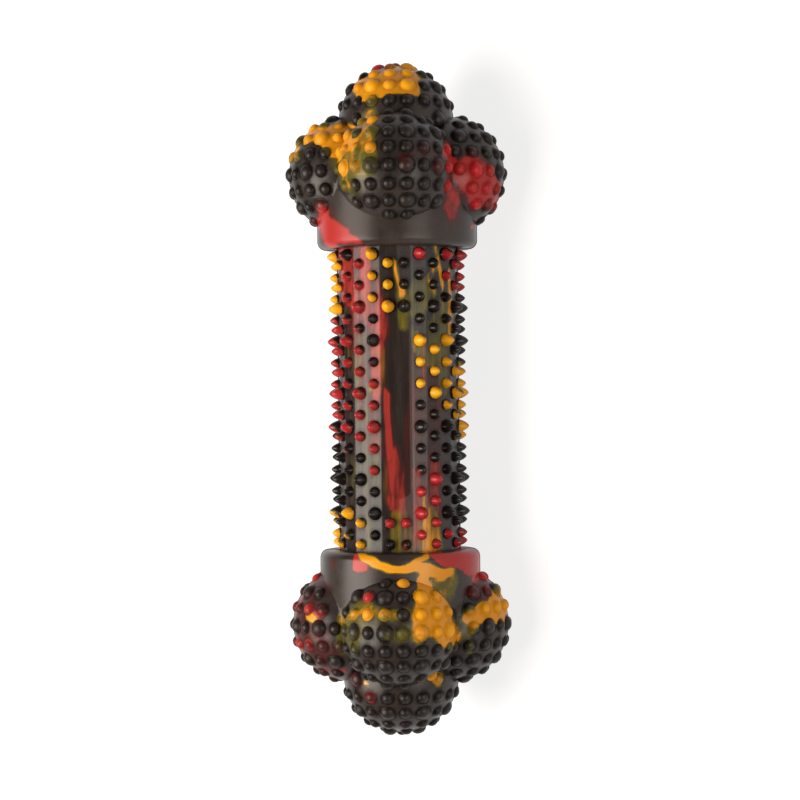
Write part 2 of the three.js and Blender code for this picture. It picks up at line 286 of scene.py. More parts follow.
sleeveAmber = [
    ("thread at the collar", (10.3, 43.9, 0.35), (11.2, 38.4, 0.28), 0.3, full),
    ("thread after it", (11.3, 37.2, 0.3), (12.4, 32.0, 0.3), 0.35, 1.0),
    ("blot between them", (9.7, 37.6, 0.5), (10.1, 35.6, 0.7), 0.5, partly),
    ("thread to the right", (8.1, 35.6, 0.28), (10.6, 29.4, 0.4), 0.35, 1.0),
    ("thread on the side", (14.6, 34.2, 0.3), (14.8, 18.4, 0.3), 0.4, 0.1),
    ("thread over the panel", (-0.5, 40.0, 0.4), (0.8, 32.2, 0.4), 0.35, full),
    ("blot over the panel", (1.5, 31.6, 0.9), (2.0, 28.6, 0.8), 0.6, partly),
    ("run to the panel", (2.0, 28.6, 1.1), (2.2, 17.6, 1.0), 0.9, -0.3),
    ("breath right of the panel, high", (5.4, 35.0, 1.1), (5.5, 24.4, 0.9), 0.9, -0.6),
    ("breath on the right, high", (7.2, 35.2, 0.4), (7.2, 29.6, 0.4), 0.5, -0.3),
    ("breath on the right", (10.0, 25.4, 1.0), (9.8, 10.0, 0.9), 0.8, -0.5),
    ("breath right of the panel", (5.8, 17.6, 0.9), (5.9, 11.0, 0.8), 0.8, -0.6),
    ("breath on the right side", (12.9, 28.0, 0.9), (12.9, 4.0, 0.8), 0.8, -0.7),
    ("foot, right", (9.6, -33.6, 0.8), (9.8, -44.0, 1.6), 0.9, 0.0),
    ("foot, middle", (6.4, -36.4, 1.2), (7.4, -44.0, 2.2), 0.9, 0.1),
    ("foot, below the panel", (-0.2, -31.0, 1.0), (1.2, -44.0, 2.6), 1.3, -0.5),
    ("thread into the foot", (7.2, -28.4, 0.35), (7.2, -34.4, 0.5), 0.4, full),
    ("dot on the left", (-7.4, 1.6, 0.5), (-7.4, 0.6, 0.4), 0.6, partly),
    ("breath on the left", (-8.4, 16.0, 1.8), (-8.8, -44.0, 1.8), 1.5, -1.3),
    ("breath on the left side", (-11.4, 12.0, 1.1), (-11.4, -30.0, 0.9), 1.4, -1.5),
]
sleeveRed = [
    ("left side, high", (-14.0, 44.0, 2.0), (-12.9, 27.0, 1.5), 1.4, 0.1),
    ("left, high", (-9.5, 44.0, 1.9), (-8.2, 24.0, 2.2), 2.0, 0.2),
    ("towards the panel", (-7.2, 34.4, 1.7), (-5.4, 20.0, 1.5), 1.6, 0.2),
    ("tail on the left", (-9.8, 27.0, 1.8), (-7.8, -14.0, 1.3), 1.8, -0.4),
    ("beside the panel", (-6.1, 22.4, 1.3), (-5.9, -1.0, 1.0), 0.8, 0.8),
    ("edge of the panel", (-3.3, 4.0, 0.8), (-3.0, -14.0, 1.0), 0.5, full),
    ("panel", (-2.0, -14.0, 1.6), (-0.8, -28.4, 3.0), 1.0, 0.1),
    ("strip right of the panel", (7.2, 17.0, 0.4), (7.4, 2.0, 0.5), 0.5, 0.7),
    ("breath right of the panel", (5.0, 8.0, 1.2), (4.8, -24.0, 1.8), 1.4, -0.8),
    ("breath on the right", (9.0, 4.0, 1.0), (9.3, -18.0, 1.4), 1.3, -1.0),
    ("right, low", (9.6, -17.0, 1.2), (9.4, -32.6, 1.5), 1.1, -0.2),
    ("right of the panel, low", (5.3, -22.0, 1.1), (6.0, -33.0, 1.6), 1.1, 0.0),
    ("foot", (5.2, -32.6, 1.1), (4.4, -42.0, 0.9), 0.8, 0.4),
    ("breath below the panel", (2.2, -31.0, 1.2), (2.2, -40.0, 0.9), 0.9, -0.2),
]
spikeAmber = [
    ("left side, top", (-17.8, 39.6, 1.5), (-17.9, 26.0, 1.5), 0.7, 0.4),
    ("left of the panel, top", (-6.9, 41.4, 1.8), (-6.9, 28.4, 1.8), 0.7, 0.7),
    ("over the panel, left", (-2.5, 40.6, 1.7), (-2.5, 27.0, 1.7), 0.7, full),
    ("over the panel, right", (2.0, 21.6, 1.6), (2.0, 21.6, 1.6), 0.5, full),
    ("right of the panel", (5.9, 17.6, 1.4), (6.3, 4.4, 1.4), 0.5, full),
    ("right", (10.3, 14.4, 1.6), (10.2, 1.2, 1.6), 0.5, full),
    ("right, further", (13.6, 17.8, 1.5), (14.2, -1.8, 1.5), 0.6, 3.0),
    ("right side", (16.6, 8.2, 1.8), (18.0, -10.4, 1.8), 0.6, 3.0),
    ("left, foot", (-11.7, -35.2, 1.6), (-11.6, -41.2, 1.6), 0.7, 1.0),
    ("left, foot, further", (-14.9, -32.5, 1.3), (-14.9, -32.5, 1.3), 0.6, 0.9),
    ("left side, foot", (-18.5, -37.8, 1.4), (-18.1, -40.6, 1.4), 0.6, 1.0),
]
spikeRed = [
    ("left, top", (-13.6, 35.4, 1.7), (-13.7, 22.8, 1.7), 0.8, -0.2),
    ("left side, top", (-16.3, 38.4, 1.7), (-16.5, 26.2, 1.7), 0.8, -0.4),
    ("left, top, further in", (-10.8, 39.6, 1.7), (-10.9, 26.0, 1.7), 0.8, 0.0),
    ("left side, middle", (-16.8, 20.6, 2.0), (-17.4, -4.8, 2.0), 0.8, 0.1),
    ("left, middle", (-13.8, 17.8, 1.9), (-14.3, -8.2, 1.9), 0.8, 0.2),
    ("left, middle, further in", (-10.6, 14.6, 1.9), (-11.6, -11.6, 1.9), 0.8, 0.4),
    ("left of the panel", (-7.0, 4.8, 1.8), (-7.0, -21.2, 1.8), 0.7, 0.9),
    ("below the panel, left", (-2.4, -31.2, 1.6), (-2.4, -36.4, 1.6), 0.7, 1.2),
    ("below the panel, right", (1.9, -33.4, 1.6), (2.0, -39.4, 1.6), 0.6, 2.0),
    ("right of the panel, low", (6.3, -23.0, 1.9), (6.3, -42.0, 1.9), 0.6, full),
    ("right, low", (10.3, -21.4, 1.9), (10.3, -40.0, 1.9), 0.6, full),
    ("right, foot", (13.6, -35.0, 1.7), (13.6, -41.0, 1.7), 0.6, full),
    ("right side, foot", (15.8, -37.2, 1.8), (17.4, -40.4, 1.8), 0.6, 3.0),
    ("right of the panel, top", (6.0, 41.3, 1.5), (6.0, 41.3, 1.5), 0.6, 2.0),
    ("right, top", (13.8, 40.6, 1.6), (13.8, 35.0, 1.6), 0.6, full),
    ("right side, top", (17.4, 40.6, 1.9), (16.7, 31.6, 1.9), 0.6, full),
]


# Knuckled ends: balls and a drum-shaped collar, joined, with a nub on every step of each ball

knuckledEnd = {  # mm, measured from the face of the collar
    "face": 42.4, "collarRadius": 22.5, "lip": 2.3, "rim": 0.9, "ball": 16.2, "ringBalls": 4,
    "ringHeight": 21.1, "ringOffset": 14.2, "tipHeight": 35.6, "socketRadius": 17.3, "socketDepth": 4.0,
    "flash": 0.16, "flashThickness": 0.34, "flashSides": 120,
    "partedBalls": (1, 3, 4),  # right, left and tip, which the parting plane cuts in halves
    "drumSides": 144, "lipSteps": 9, "sideSteps": 17, "ballSides": 96, "ballRings": 49,
    "margin": 0.02,  # that still counts as the collar's side
}
nubs = {  # mm, or shares of a step (turn), of the radius (skirt, paintedShadeAt) and of the height (root)
    "pitch": 5.1, "turn": 0.72, "radius": 1.6, "height": 1.12, "bigRadius": 2.1, "bigHeight": 1.35,
    "clear": 0.8, "root": 0.6, "sides": 12, "standing": 0.03, "skirt": 1.15, "skirtMargin": 0.2,
    # the last two: where the ring of painted shade round a nub's foot lies, as a share of its radius, and
    # its width in mm
    "paintedShadeAt": 1.1, "paintedShade": 0.4,
    "chance": 0.8, "ownShare": 0.7,  # how far a nub's colour strays, and its share against the strokes'
}
nubProfile = [  # shares of the radius and of the height; the foot spreads where it meets the ball
    (1.18, -nubs["root"]), (1.18, 0), (1.04, 0.09), (0.96, 0.27), (0.81, 0.56), (0.5, 0.86), (0, 1),
]
coreFit = {  # mm; the hollow that takes the core
    "hexRadius": 8.35, "hexSides": 6, "neck": 13.7, "bulbRadius": 11.3, "bulbMiddle": 20.5, "bulbDome": 6.8,
    "bulbSides": 48, "domeSteps": 9, "overCut": 1.0,
}


def ballCentres():
    # a ring of balls from the front round to the right, then the one at the tip
    count = knuckledEnd["ringBalls"]
    ring = outward(np.arange(count) / count * 2 * np.pi) * knuckledEnd["ringOffset"]
    ring[:, 2] = knuckledEnd["ringHeight"]
    return np.vstack([ring, [[0, 0, knuckledEnd["tipHeight"]]]])


def nubDirections():
    # rows round the ball's middle, a pitch apart, that all start alike
    rowsToPole = round(math.pi / 2 * knuckledEnd["ball"] / nubs["pitch"])
    directions, big = [], []
    for row in range(-rowsToPole, rowsToPole + 1):
        latitude = row / rowsToPole * math.pi / 2
        girth = 2 * math.pi * knuckledEnd["ball"] * math.cos(latitude)
        count = max(1, round(girth / nubs["pitch"]))
        step = np.arange(count)
        level = outward((step + nubs["turn"]) / count * 2 * np.pi) * math.cos(latitude)
        level[:, 2] = math.sin(latitude)
        directions.append(level)
        big.append((row % 2 == 0) & (step % 2 == 0) & (step + 1 < count))
    return np.concatenate(directions), np.concatenate(big)


def shownNubs(centres):
    # the nubs of every ball that stand clear of the other balls and of the collar
    directions, big = nubDirections()
    count = knuckledEnd["ringBalls"]
    found = []
    for number, centre in enumerate(centres):
        turn = number * 2 * math.pi / count if number < count else 0
        spin = np.array(Matrix.Rotation(turn, 3, "Z"))
        normals = directions @ spin.T
        places = centre + normals * knuckledEnd["ball"]
        others = np.delete(centres, number, axis=0)
        clear = np.linalg.norm(places[:, None] - others, axis=2).min(1) - knuckledEnd["ball"]
        low = places[:, 2] < knuckledEnd["ringHeight"]
        aside = np.hypot(places[:, 0], places[:, 1]) - knuckledEnd["collarRadius"]
        clear = np.where(low, np.minimum(clear, aside), clear)
        keep = clear > nubs["clear"]
        found.append((np.repeat(centre[None], keep.sum(), axis=0), normals[keep], big[keep]))
    return [np.concatenate(part) for part in zip(*found)]


def besideOf(normals):
    # two directions square to each normal and to each other
    steep = 0.9  # a normal nearer to upright than this takes the other helper
    helper = np.where(np.abs(normals[:, 2:]) < steep, [[0.0, 0.0, 1.0]], [[1.0, 0.0, 0.0]])
    first = np.cross(helper, normals)
    first /= np.linalg.norm(first, axis=1, keepdims=True)
    return first, np.cross(normals, first)


def studs(name, feet, normals, radii, bases, tops, profile, sides):
    # profile[step] = share of the radius and share of the way from base to top, carried round each normal
    first, second = besideOf(normals)
    angle = np.arange(sides) / sides * 2 * np.pi
    around = first[:, None] * np.cos(angle)[:, None] + second[:, None] * np.sin(angle)[:, None]
    share, rise = np.asarray(profile, float).T
    rise = bases[:, None] + (tops - bases)[:, None] * rise
    middle = feet[:, None] + normals[:, None] * rise[:, :, None]
    rings = middle[:, :-1, None] + around[:, None] * (radii[:, None] * share[:-1])[:, :, None, None]
    return closedShells(name, rings, middle[:, 0], middle[:, -1])


def nubStuds(centres):
    # each nub is a dome whose base circle lies on the ball, and whose root is sunk in it
    balls, normals, big = shownNubs(centres)
    radii = np.where(big, nubs["bigRadius"], nubs["radius"])
    tops = knuckledEnd["ball"] + np.where(big, nubs["bigHeight"], nubs["height"])
    bases = np.sqrt(knuckledEnd["ball"] ** 2 - radii ** 2)
    mesh = studs("nubs", balls, normals, radii, bases, tops, nubProfile, nubs["sides"])
    return mesh, balls + normals * knuckledEnd["ball"], radii


def ballMesh(centre):
    # a half circle from pole to pole, carried round and moved to the centre
    levels = np.radians(np.linspace(-90, 90, knuckledEnd["ballRings"]))
    profile = np.stack([np.cos(levels), np.sin(levels)], axis=1) * knuckledEnd["ball"]
    mesh = turnedProfile("ball", profile, knuckledEnd["ballSides"])
    mesh.transform(Matrix.Translation(Vector(centre)))
    return mesh


def collarProfile(grown=0.0):
    # a flat shoulder, a round lip, a straight side in short steps and a cone that the balls cover
    radius, lip, top = knuckledEnd["collarRadius"], knuckledEnd["lip"], knuckledEnd["ringHeight"]
    bend = np.radians(np.linspace(-90, 0, knuckledEnd["lipSteps"]))
    arcRadius = radius - lip + (lip + grown) * np.cos(bend)
    arcHeight = lip + (lip + grown) * np.sin(bend)
    rise = np.linspace(lip, top, knuckledEnd["sideSteps"])[1:]
    side = np.stack([np.full(rise.shape, radius + grown), rise], axis=1)
    shoulder = [[0, -grown], [knuckledEnd["socketRadius"] + knuckledEnd["rim"], -grown]]
    cone = [[0, knuckledEnd["tipHeight"]]]
    return np.concatenate([shoulder, np.stack([arcRadius, arcHeight], axis=1), side, cone])


def flashPlate(outline, middle):
    # a thin plate in the mould's parting plane, from an outline of right and up round a middle
    half = knuckledEnd["flashThickness"] / 2
    rim = np.stack([outline[:, 0], np.zeros(len(outline)), outline[:, 1]], axis=1)
    rings = np.stack([rim + [0, half, 0], rim - [0, half, 0]])
    low, high = [[middle[0], half, middle[1]]], [[middle[0], -half, middle[1]]]
    return closedShells("flash", rings[None], np.array(low), np.array(high))


def flashPlates(centres):
    # the parting line shows as a fine ridge round the balls and the collar, left and right
    angle = np.linspace(0, 2 * np.pi, knuckledEnd["flashSides"], endpoint=False)
    ring = np.stack([np.cos(angle), np.sin(angle)], axis=1) * (knuckledEnd["ball"] + knuckledEnd["flash"])
    middles = [centres[number][[0, 2]] for number in knuckledEnd["partedBalls"]]
    plates = [flashPlate(ring + middle, middle) for middle in middles]
    rightSide = collarProfile(knuckledEnd["flash"])[1:-1]
    outline = np.concatenate([rightSide, rightSide[::-1] * [-1, 1]])
    return plates + [flashPlate(outline, np.array([0, knuckledEnd["lip"]]))]


def coreHollow():
    # the seat of the core: the sleeve's socket, the hexagon's hole and the bulb's seat
    radius, depth, below = knuckledEnd["socketRadius"], knuckledEnd["socketDepth"], -coreFit["overCut"]
    socketProfile = [(0, below), (radius, below), (radius, depth), (0, depth)]
    socket = turnedProfile("socket", socketProfile, knuckledEnd["drumSides"])
    hexagon, reach = coreFit["hexRadius"], coreFit["bulbMiddle"]
    holeProfile = [(0, 0), (hexagon, 0), (hexagon, reach), (0, reach)]
    hole = turnedProfile("hole", holeProfile, coreFit["hexSides"])
    bulb, neck = coreFit["bulbRadius"], coreFit["neck"]
    bend = np.radians(np.linspace(0, 90, coreFit["domeSteps"]))
    dome = np.stack([bulb * np.cos(bend), reach + coreFit["bulbDome"] * np.sin(bend)], axis=1)
    seat = turnedProfile("seat", np.concatenate([[[0, neck], [bulb, neck]], dome]), coreFit["bulbSides"])
    return [socket, hole, seat]


def endShape():
    # collar, balls, parting line and nubs joined, then the core's hollow cut out
    centres = ballCentres()
    mesh = turnedProfile("collar", collarProfile(), knuckledEnd["drumSides"])
    for centre in centres:
        mesh = combined(mesh, ballMesh(centre), "UNION")
    for plate in flashPlates(centres):
        mesh = combined(mesh, plate, "UNION")
    studMesh, places, radii = nubStuds(centres)
    mesh = combined(mesh, studMesh, "UNION")
    for tool in coreHollow():
        mesh = combined(mesh, tool, "DIFFERENCE")
    print("end shape:", len(places), "nubs,", len(mesh.vertices), "corners")
    return mesh, places, radii


def endFields(upright, local, standingPlaces, places, radii, strokes, others, nubStrokes, seed):
    # the strokes' colours; a nub takes most of its value from its middle, and a chance or stroke of its own
    fromBalls = np.linalg.norm(local[:, None] - ballCentres(), axis=2).min(1)
    above = fromBalls > knuckledEnd["ball"] + nubs["standing"]
    onCollar = np.hypot(local[:, 0], local[:, 1]) < knuckledEnd["collarRadius"] + knuckledEnd["margin"]
    onCollar &= local[:, 2] < knuckledEnd["ringHeight"]
    nearest, gap = nearestOf(local, places)
    onNub = above & ~onCollar & (gap < radii[nearest] * nubs["skirt"] + nubs["skirtMargin"])
    chance = np.random.default_rng(seed).normal(0, nubs["chance"], (2, len(places)))
    counts = np.maximum(np.bincount(nearest[onNub], minlength=len(places)), 1)
    fields = {}
    for number, key in enumerate(("amber", "red")):
        field = np.minimum(marbled(upright, strokes[key], others[key], freeFlow), groundPeak)
        sums = np.bincount(nearest[onNub], weights=field[onNub], minlength=len(places))
        chosen = marbled(standingPlaces, nubStrokes[key], [], stillFlow)
        ownValue = raised(np.maximum(sums / counts + chance[number], chosen))
        kept = (1 - nubs["ownShare"]) * field[onNub]
        field[onNub] = kept + nubs["ownShare"] * ownValue[nearest[onNub]]
        fields[key] = field
    # the studs: their charcoal is painted a little darker, as shade, and their skin is duller
    fields["stud"] = onNub.astype(float)
    # a ring of painted shade round each nub's foot, none on the collar
    paintedShade = paintedShadeBell(gap, radii[nearest] * nubs["paintedShadeAt"], nubs["paintedShade"])
    fields["paintedShade"] = np.where(onCollar, 0.0, paintedShade)
    return fields


# Spiked sleeve: a tube of many flats with a column of spikes on each and one bare panel

sleeve = {  # mm, or shares of a flat (supportShare) and of the radius (outside)
    "reach": 46.1, "corner": 17.0, "flats": 24, "edgeRound": 2.6, "edgeSteps": 4, "flash": 0.22,
    "supports": 5, "supportShare": 0.8,  # points across a flat that keep its shading even
    "panelWidth": 6.8, "panelLength": 50.5, "panelCentre": -1.7, "panelMargin": 0.2, "panelRunOut": 1.2,
    "runOutSteps": 9, "panelGuards": (-0.25, 0.0, 0.15),  # points that keep the panel's edge crisp
    "rowStep": 1.3, "outside": 0.9,
}
spikes = {  # mm, or shares of the height (levels) and powers (fullness, bluntness)
    "rows": 14, "pitch": 6.0, "stagger": 2.6, "radius": 1.5, "height": 2.45, "bigRadius": 1.9,
    "bigHeight": 3.25, "bigEvery": 4, "root": 0.7, "sides": 12, "levels": (0, 0.28, 0.53, 0.74, 0.9, 1),
    # among these, the width in mm of the ring of painted shade round a spike's foot
    "fullness": 1.5, "bluntness": 0.68, "standing": 0.06, "span": 5.0, "paintedShade": 0.3, "middle": 0.5,
    # the spikes' colour thins towards the upper right: partly their own two tones, partly painted shade on
    # the side away from the lamp
    "chance": 0.25, "thinsAndShadesTowards": (0.6, 0.8), "thinningAndShade": 2.2, "seed": 11,
}
flatAngle = 2 * math.pi / sleeve["flats"]
apothem = sleeve["corner"] * math.cos(flatAngle / 2)


def sleeveSection():
    # a regular outline with a small round at each corner, as right and back, counted from the front
    corner = np.arange(sleeve["flats"])[:, None] * flatAngle
    lean = np.linspace(-0.5, 0.5, sleeve["edgeSteps"]) * flatAngle
    centreRadius = (apothem - sleeve["edgeRound"]) / math.cos(flatAngle / 2)
    arcs = outward(corner) * centreRadius + outward(corner + lean) * sleeve["edgeRound"]
    parted = np.abs(np.abs(np.sin(corner)) - 1) < tiny  # the corners on the right and left
    ridge = np.where(parted & (np.abs(lean) < flatAngle / 4), sleeve["flash"], 0)
    arcs = arcs + outward(corner) * ridge[..., None]
    flat = corner + flatAngle / 2
    along = np.stack([np.cos(flat), np.sin(flat), np.zeros_like(flat)], axis=-1)
    half = sleeve["corner"] * math.sin(flatAngle / 2)
    across = np.linspace(-sleeve["supportShare"], sleeve["supportShare"], sleeve["supports"]) * half
    supports = outward(flat) * apothem + along * across[:, None]
    edges = sleeve["panelWidth"] / 2 + np.array(sleeve["panelGuards"])
    edges = np.concatenate([-edges, edges])
    depth = sleeve["corner"] - np.abs(edges) * math.tan(flatAngle / 2)
    panel = np.stack([edges, -depth, np.zeros_like(edges)], axis=1)
    points = np.concatenate([arcs.reshape(-1, 3), supports.reshape(-1, 3), panel])
    order = np.argsort(np.arctan2(points[:, 0], -points[:, 1]) % (2 * math.pi))
    return points[order]


def sleeveTube():
    # the outline carried along the axis; along the panel the front is planed flat and runs out at its ends
    deep = sleeve["panelWidth"] / 2 * math.tan(flatAngle / 2)
    runOut = np.linspace(-1, 1, sleeve["runOutSteps"]) * sleeve["panelRunOut"]
    ends = sleeve["panelCentre"] + np.array([[-1], [1]]) * (sleeve["panelLength"] / 2 + runOut)
    steps = round(2 * sleeve["reach"] / sleeve["rowStep"])
    rows = np.linspace(-sleeve["reach"], sleeve["reach"], steps)
    heights = np.unique(np.concatenate([rows, ends.ravel()]))
    past = np.abs(heights - sleeve["panelCentre"]) - sleeve["panelLength"] / 2
    share = np.clip(past / sleeve["panelRunOut"] / 2 + 0.5, 0, 1)
    limit = sleeve["corner"] - deep * (1 - share * share * (3 - 2 * share))
    rings = sleeveSection()[None] + np.array([0, 0, 1]) * heights[:, None, None]
    rings[:, :, 1] = np.maximum(rings[:, :, 1], -limit[:, None])
    low, high = np.array([[0, 0, -sleeve["reach"]]]), np.array([[0, 0, sleeve["reach"]]])
    return closedShells("tube", rings[None], low, high)


def spikePlaces():
    # columns on the flats, alike left and right; every other column sits lower
    column, row = np.meshgrid(np.arange(sleeve["flats"]), np.arange(spikes["rows"]), indexing="ij")
    fromFront = np.minimum(column, sleeve["flats"] - 1 - column)
    lowered = fromFront % 2 == 0
    height = np.where(lowered, -0.5, 0.5) * spikes["stagger"]
    height = height + ((spikes["rows"] - 1) / 2 - row) * spikes["pitch"]
    big = (row - np.where(lowered, spikes["bigEvery"] // 2, 0)) % spikes["bigEvery"] == 0
    radius = np.where(big, spikes["bigRadius"], spikes["radius"])
    bare = sleeve["panelLength"] / 2 + sleeve["panelMargin"] + radius
    keep = (fromFront > 0) | (np.abs(height - sleeve["panelCentre"]) >= bare)
    normals = outward((column[keep] + 0.5) * flatAngle)
    feet = normals * apothem
    feet[:, 2] = height[keep]
    return feet, normals, radius[keep], np.where(big, spikes["bigHeight"], spikes["height"])[keep]


def spikeProfile():
    # the width falls as one less a power of the rise; a second power below one rounds the tip
    rise = np.array(spikes["levels"])
    share = (1 - rise ** spikes["fullness"]) ** spikes["bluntness"]
    return [(1, -spikes["root"] / spikes["height"])] + list(zip(share, rise))


def sleeveShape():
    # the tube with its spikes joined on, then the core's hole cut through
    feet, normals, radii, heights = spikePlaces()
    bases = np.zeros(len(feet))
    studMesh = studs("spikes", feet, normals, radii, bases, heights, spikeProfile(), spikes["sides"])
    mesh = combined(sleeveTube(), studMesh, "UNION")
    hexagon, end = coreFit["hexRadius"], sleeve["reach"] + coreFit["overCut"]
    holeProfile = [(0, -end), (hexagon, -end), (hexagon, end), (0, end)]
    hole = turnedProfile("hole", holeProfile, coreFit["hexSides"])
    print("sleeve shape:", len(feet), "spikes")
    return combined(mesh, hole, "DIFFERENCE"), feet, normals, radii


def sleeveFields(points, feet, normals, radii):
    # streaks along the flats; each spike has a colour of its own that thins out towards its upper right,
    # the side turned from the lamp, partly as the rubber's own two tones and partly as painted shade
    outside = np.hypot(points[:, 0], points[:, 1]) > sleeve["corner"] * sleeve["outside"]
    nearest, gap = nearestOf(points, feet)
    lift = ((points - feet[nearest]) * normals[nearest]).sum(1)
    onSpike = (lift > spikes["standing"]) & (gap < spikes["span"]) & outside
    offset = (points - feet[nearest]) / radii[nearest][:, None]
    # the way towards the lit lower left; the colour fades the other way, partly as painted shade
    thinsAndShadesRight, thinsAndShadesUp = spikes["thinsAndShadesTowards"]
    towardsLitSide = -(thinsAndShadesRight * offset[:, 0] + thinsAndShadesUp * offset[:, 2])
    chance = np.random.default_rng(spikes["seed"]).normal(0, spikes["chance"], (2, len(feet)))
    middles = feet + normals * spikes["middle"]
    strokes = {"amber": (sleeveAmber, spikeAmber), "red": (sleeveRed, spikeRed)}
    fields = {}
    for number, (key, (ground, own)) in enumerate(strokes.items()):
        field = np.minimum(marbled(points, ground, ground, drawnFlow), groundPeak)
        spikeField = marbled(middles, own, own, stillFlow) + chance[number]
        field[onSpike] = raised(spikeField[nearest] + spikes["thinningAndShade"] * towardsLitSide)[onSpike]
        fields[key] = field
    # the spikes: their charcoal is painted a little darker, as shade
    fields["stud"] = onSpike.astype(float)
    # a ring of painted shade round each spike's foot, on the outside only
    fields["paintedShade"] = np.where(outside, paintedShadeBell(gap, radii[nearest], spikes["paintedShade"]), 0.0)
    return fields


# Materials

def toLinear(hexColour):
    # the sRGB curve: a straight line near black and a power above it
    shares = np.array([int(hexColour[i:i + 2], 16) for i in (1, 3, 5)]) / 255
    linear = np.where(shares <= 0.04045, shares / 12.92, ((shares + 0.055) / 1.055) ** 2.4)
    return (*linear.tolist(), 1.0)


def addNode(tree, kind, sockets, **settings):
    # a socket's value is a number, a colour or another node's output; sockets that share a name go by
    # number, as in a Mix of colours: share 0, colours 6 and 7, result 2
    node = tree.nodes.new(kind)
    for key, value in settings.items():
        setattr(node, key, value)
    for key, value in sockets.items():
        if isinstance(value, bpy.types.NodeSocket):
            tree.links.new(value, node.inputs[key])
        else:
            node.inputs[key].default_value = value
    return node


def emptyMaterial(name):
    # a material whose node tree is still bare
    material = bpy.data.materials.new(name)
    material.use_nodes = True
    material.node_tree.nodes.clear()
    return material, material.node_tree


rubber = {  # what both rubbers share; the ranges are of the tone's noise, the grain's height in mm
    "swirlDetail": 4.0, "swirlRoughness": 0.62, "redShift": 3.7, "toneDetail": 5.0, "toneRoughness": 0.6,
    "wornRange": (0.35, 0.7), "dullRange": (0.3, 0.7), "grainDetail": 3.0, "grainHeight": 0.1, "shine": 0.5,
    "colours": {
        # the deep red and deep amber are painted shade, taken on in the creases round the studs
        "maroon": "#4c1c1a", "redPaintedShadeTone": "#6e1819",
        "olive": "#6b651c", "amber": "#e0941a", "amberPaintedShadeTone": "#a0640f"},
}
coverSteps = {  # from and to which value a colour sets in, its most, and in what kind of step
    "film": (-1.5, -0.3, 0.65, "SMOOTHSTEP"),
    "body": (-0.5, 0.5, 1.0, "SMOOTHSTEP"),
    "bright": (2.2, 3.4, 1.0, "LINEAR"),
}
satinLook = {  # mm where a size; the ends' rubber swirls freely
    "stretch": (1.0, 1.0, 1.0), "swirl": 5.0, "curl": 0.6, "wander": 1.5, "tone": 9.0, "grain": 0.5,
    "grainDepth": 0.2, "smooth": 0.28, "dull": 0.4, "studDull": 0.07, "ior": 1.345,
    # painted shade in the creases round the studs: the shine there, and how far a colour goes towards its
    # deep tone
    "paintedShadeShine": 0.12, "paintedShadeDepth": 0.4,
    "colours": {
        "charcoal": "#2a2320", "charcoalWorn": "#3d3430",
        # painted shade: the studs a little darker, the creases round them darker still
        "charcoalStudPaintedShade": "#261f1c", "charcoalPaintedShade": "#130f0e",
        "red": "#ab2d2a", "redBright": "#c8242c", "amberBright": "#f6a812"},
}
streakedLook = {  # the sleeve's rubber was drawn out along the shaft, and its mould was polished
    "stretch": (0.1, 1.0, 1.0), "swirl": 2.2, "curl": 0.2, "wander": 2.0, "tone": 2.6, "grain": 0.5,
    "grainDepth": 0.1, "smooth": 0.2, "dull": 0.32, "studDull": 0.0, "ior": 1.36,
    # painted shade in the creases round the spikes: the shine there, and how far a colour goes towards its
    # deep tone
    "paintedShadeShine": 0.28, "paintedShadeDepth": 0.2,
    "colours": {
        "charcoal": "#241d1b", "charcoalWorn": "#342b28",
        # painted shade: the spikes a little darker, the creases round them darker still
        "charcoalStudPaintedShade": "#1f1917", "charcoalPaintedShade": "#171211",
        "red": "#983029", "redBright": "#a9262b", "amberBright": "#f0a916"},
}


def charcoalGround(tree, colour, tone, stud, paintedShade):
    # charcoal that is lighter where it is worn; painted shade makes it darker on the studs, and darker
    # still in the creases round them
    wornFrom, wornTo = rubber["wornRange"]
    worn = addNode(tree, "ShaderNodeMapRange", {
        "Value": tone, "From Min": wornFrom, "From Max": wornTo}).outputs[0]
    ground = colour["charcoal"]
    for share, key in ((worn, "charcoalWorn"), (stud, "charcoalStudPaintedShade"), (paintedShade, "charcoalPaintedShade")):
        ground = addNode(tree, "ShaderNodeMix", {
            0: share, 6: ground, 7: colour[key]}, data_type="RGBA").outputs[2]
    return ground


def pressedOver(tree, look, colour, ground, key, thin, wave, paintedShade):
    # one colour on the ground: a film at its edge, then its body, brighter on studs, and darker towards its
    # deep tone in the creases round them, which is painted shade; the noise lies round a half, so that
    # twice the wander sways the edge to both sides
    field = addNode(tree, "ShaderNodeAttribute", {}, attribute_name=key).outputs["Fac"]
    edge = addNode(tree, "ShaderNodeMath", {
        0: wave, 1: 2 * look["wander"], 2: field}, operation="MULTIPLY_ADD").outputs[0]
    cover = {}
    for step, (begins, ends, most, easing) in coverSteps.items():
        cover[step] = addNode(tree, "ShaderNodeMapRange", {
            "Value": edge, "From Min": look["wander"] + begins, "From Max": look["wander"] + ends,
            "To Max": most}, interpolation_type=easing).outputs[0]
    # painted shade: in the creases the colour goes towards its deep tone
    shade = addNode(tree, "ShaderNodeMath", {
        0: paintedShade, 1: look["paintedShadeDepth"]}, operation="MULTIPLY").outputs[0]
    varied = addNode(tree, "ShaderNodeMix", {
        0: cover["bright"], 6: colour[key], 7: colour[key + "Bright"]}, data_type="RGBA").outputs[2]
    body = addNode(tree, "ShaderNodeMix", {
        0: shade, 6: varied, 7: colour[key + "PaintedShadeTone"]}, data_type="RGBA").outputs[2]
    filmed = addNode(tree, "ShaderNodeMix", {
        0: cover["film"], 6: ground, 7: colour[thin]}, data_type="RGBA").outputs[2]
    return addNode(tree, "ShaderNodeMix", {
        0: cover["body"], 6: filmed, 7: body}, data_type="RGBA").outputs[2]


